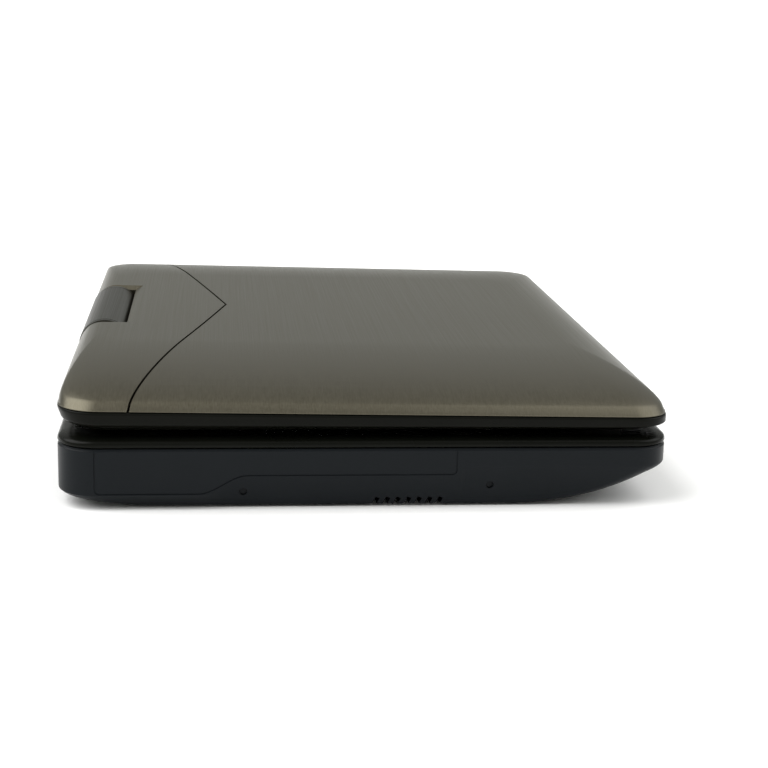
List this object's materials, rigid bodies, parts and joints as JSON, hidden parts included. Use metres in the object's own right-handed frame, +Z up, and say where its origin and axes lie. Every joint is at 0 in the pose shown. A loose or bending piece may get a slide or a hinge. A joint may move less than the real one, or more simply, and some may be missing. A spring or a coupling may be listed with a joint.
{
  "type": "portable dvd player",
  "caption": "Clamshell disc player with a swivelling, tilting screen lid, domed two-piece back cover, centre hinge barrel, deck keys, side sockets and a disc drive inside.",
  "frame": {"origin": "middle of the footprint, on the surface that the rubber feet stand on", "axes": "+X to the user's right, +Y to the back where the hinge is, +Z up"},
  "size_m": [0.245, 0.19, 0.041],
  "materials": {
    "bronze_finish": "fine brushed bronze grey, satin",
    "rim_black": "semi gloss black",
    "gloss_black": "polished black",
    "satin_black": "satin black, slightly blue",
    "key_grey": "satin dark grey",
    "rubber_black": "matt black",
    "steel": "bright steel",
    "board_green": "solder mask green",
    "battery_wrap": "blue shrink wrap",
    "screen_glass": "black display glass",
    "inner_plastic": "dark moulded plastic",
    "lens_glass": "coated lens",
    "smoked_window": "smoked red-black"
  },
  "bodies": {
    "root": {"lower_case": "satin_black", "upper_case": "gloss_black", "disc_door": "gloss_black", "door_hinge_pin": "steel", "dc_jack": "steel", "headphone_jack": "steel", "av_jack": "steel", "usb_port": "steel", "card_slot": "inner_plastic", "ir_window": "smoked_window", "disc_tray": "inner_plastic", "spindle_motor": "steel", "drive_chassis": "steel", "guide_rail_front": "steel", "guide_rail_rear": "steel", "sled_motor": "steel", "main_board": "board_green", "key_board": "board_green", "battery_pack": "battery_wrap", "speaker_left": "inner_plastic", "speaker_right": "inner_plastic", "swivel_plate": "steel", "case_screw_1": "steel", "case_screw_2": "steel", "case_screw_3": "steel", "case_screw_4": "steel", "foot_front_left": "rubber_black", "foot_front_right": "rubber_black", "foot_rear_left": "rubber_black", "foot_rear_right": "rubber_black", "deck_bumper_left": "rubber_black", "deck_bumper_right": "rubber_black"},
    "hinge_hub": {"hinge_barrel": "bronze_finish", "swivel_post": "steel", "friction_sleeve_left": "steel", "friction_sleeve_right": "steel"},
    "lid": {"lid_main_cover": "bronze_finish", "lid_rear_cover": "bronze_finish", "lid_frame": "rim_black", "lid_bezel": "gloss_black", "display_panel": "screen_glass", "display_board": "board_green", "tilt_shaft": "steel", "hinge_bracket_left": "steel", "hinge_bracket_right": "steel"},
    "spindle": {"disc_hub": "key_grey"},
    "pickup": {"pickup_sled": "inner_plastic", "pickup_lens": "lens_glass"},
    "feed_screw": {"lead_screw": "steel"},
    "power_switch": {"power_switch": "key_grey"},
    "volume_wheel": {"volume_wheel": "key_grey"},
    "door_button": {"door_button": "key_grey"},
    "key_up": {"key_up": "key_grey"},
    "key_down": {"key_down": "key_grey"},
    "key_left": {"key_left": "key_grey"},
    "key_right": {"key_right": "key_grey"},
    "key_enter": {"key_enter": "key_grey"},
    "key_play": {"key_play": "key_grey"},
    "key_stop": {"key_stop": "key_grey"},
    "key_menu": {"key_menu": "key_grey"}
  },
  "joints": [
    {"name": "screen_swivel", "type": "hinge", "parent": "root", "child": "hinge_hub", "pos_m": [0, 0.08565, 0.032], "axis": [0, 0, 1], "range_deg": [-90, 180]},
    {"name": "screen_tilt", "type": "hinge", "parent": "hinge_hub", "child": "lid", "pos_m": [0, 0.08565, 0.032], "axis": [-1, 0, 0], "range_deg": [0, 180]},
    {"name": "spindle_spin", "type": "hinge", "parent": "root", "child": "spindle", "pos_m": [0, -0.002, 0.0165], "axis": [0, 0, 1], "continuous": true},
    {"name": "sled_travel", "type": "slide", "parent": "root", "child": "pickup", "axis": [1, 0, 0], "range_m": [0, 0.034]},
    {"name": "lead_screw_turn", "type": "hinge", "parent": "root", "child": "feed_screw", "pos_m": [0.03, 0.028, 0.009], "axis": [1, 0, 0], "range_deg": [0, 4100]},
    {"name": "power_switch_slide", "type": "slide", "parent": "root", "child": "power_switch", "axis": [0, -1, 0], "range_m": [0, 0.004]},
    {"name": "volume_wheel_turn", "type": "hinge", "parent": "root", "child": "volume_wheel", "pos_m": [0.1153, -0.046, 0.0164], "axis": [0, 0, 1], "range_deg": [0, 270]},
    {"name": "door_button_press", "type": "slide", "parent": "root", "child": "door_button", "axis": [0, 0, -1], "range_m": [0, 0.0008], "stiffness_N_per_m": 600},
    {"name": "key_up_press", "type": "slide", "parent": "root", "child": "key_up", "axis": [0, 0, -1], "range_m": [0, 0.0006], "stiffness_N_per_m": 600},
    {"name": "key_down_press", "type": "slide", "parent": "root", "child": "key_down", "axis": [0, 0, -1], "range_m": [0, 0.0006], "stiffness_N_per_m": 600},
    {"name": "key_left_press", "type": "slide", "parent": "root", "child": "key_left", "axis": [0, 0, -1], "range_m": [0, 0.0006], "stiffness_N_per_m": 600},
    {"name": "key_right_press", "type": "slide", "parent": "root", "child": "key_right", "axis": [0, 0, -1], "range_m": [0, 0.0006], "stiffness_N_per_m": 600},
    {"name": "key_enter_press", "type": "slide", "parent": "root", "child": "key_enter", "axis": [0, 0, -1], "range_m": [0, 0.0006], "stiffness_N_per_m": 600},
    {"name": "key_play_press", "type": "slide", "parent": "root", "child": "key_play", "axis": [0, 0, -1], "range_m": [0, 0.0006], "stiffness_N_per_m": 600},
    {"name": "key_stop_press", "type": "slide", "parent": "root", "child": "key_stop", "axis": [0, 0, -1], "range_m": [0, 0.0006], "stiffness_N_per_m": 600},
    {"name": "key_menu_press", "type": "slide", "parent": "root", "child": "key_menu", "axis": [0, 0, -1], "range_m": [0, 0.0006], "stiffness_N_per_m": 600}
  ],
  "couplings": [
    {"joint": "lead_screw_turn", "follows": "sled_travel", "rad_per_m": 2094.4}
  ]
}
